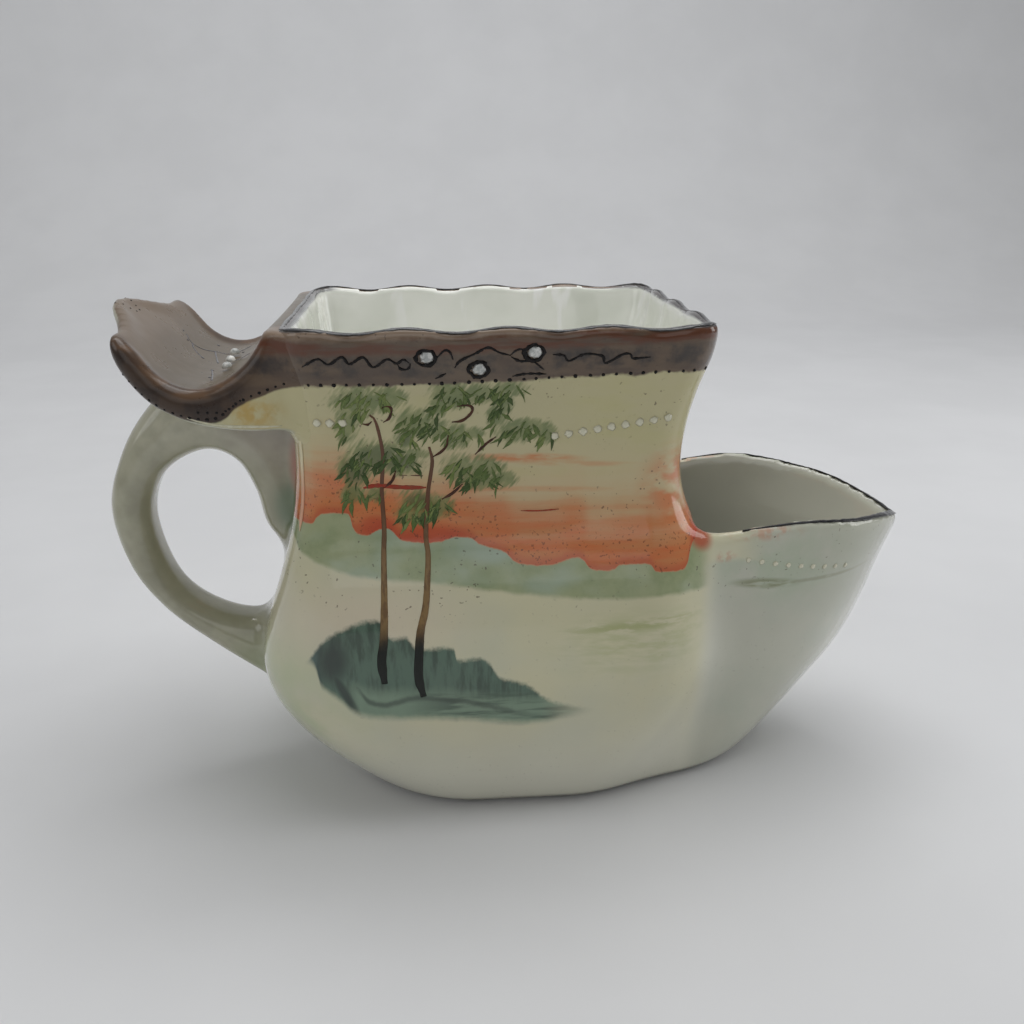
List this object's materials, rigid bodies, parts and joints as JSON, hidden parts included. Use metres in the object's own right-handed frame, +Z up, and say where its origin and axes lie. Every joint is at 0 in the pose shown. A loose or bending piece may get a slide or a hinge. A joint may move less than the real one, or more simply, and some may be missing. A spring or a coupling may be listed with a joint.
{
  "type": "shaving mug",
  "caption": "Porcelain shaving scuttle: square soap cup with a strainer over a round water chamber, boat-shaped brush spout, loop handle and saddle-shaped brush rest.",
  "frame": {"origin": "on the resting surface, under the middle of the overall length and width", "axes": "+Z up, +X towards the spout's tip, Y across the object"},
  "size_m": [0.1651, 0.0698, 0.0982],
  "materials": {
    "painted_glaze": "hand-painted washes of brown, sky yellow, orange and green under a clear gloss glaze",
    "white_glaze": "plain white gloss glaze",
    "grey_glaze": "grey-green wash under a gloss glaze",
    "brown_glaze": "grey-brown wash under a gloss glaze",
    "slip_white": "raised slip under the glaze",
    "enamel_white": "raised glossy enamel"
  },
  "bodies": {
    "root": {"body_shell": "painted_glaze", "spout_shell": "painted_glaze", "soap_strainer": "white_glaze", "handle": "grey_glaze", "brush_rest": "brown_glaze", "slip_beads_front_neck": "slip_white", "slip_beads_back_neck": "slip_white", "slip_beads_front_spout": "slip_white", "slip_beads_back_spout": "slip_white", "enamel_jewels_front": "enamel_white", "enamel_jewels_back": "enamel_white", "enamel_jewels_cradle": "enamel_white"}
  },
  "joints": []
}
